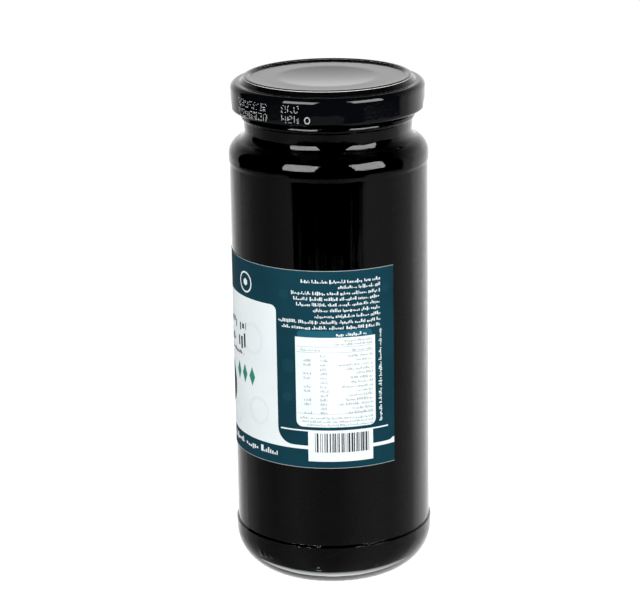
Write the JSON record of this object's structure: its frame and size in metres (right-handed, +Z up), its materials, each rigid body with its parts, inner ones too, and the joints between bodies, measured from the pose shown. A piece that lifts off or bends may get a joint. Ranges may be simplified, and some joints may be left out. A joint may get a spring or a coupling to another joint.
{
  "type": "jar of black olives",
  "caption": "Tall round glass jar of black olives in dark brine, closed with a black twist-off metal lid, with a wrap-round paper label.",
  "frame": {"origin": "centre of the flat ring that the jar stands on", "axes": "+Z up along the axis of the jar; -Y towards the side of the label with the table and the bar code; the main panel of the label faces nearly -X and the bare strip of glass nearly +X"},
  "size_m": [0.063, 0.063, 0.1597],
  "materials": {
    "soda_lime_glass": "gloss",
    "olives_in_brine": "gloss",
    "sealing_compound": "matte",
    "lacquered_tinplate": "gloss",
    "label_paper": "satin"
  },
  "bodies": {
    "root": {"glass_jar": "soda_lime_glass", "contents": "olives_in_brine", "lid_seal": "sealing_compound", "lid_shell": "lacquered_tinplate", "label": "label_paper"}
  },
  "joints": []
}
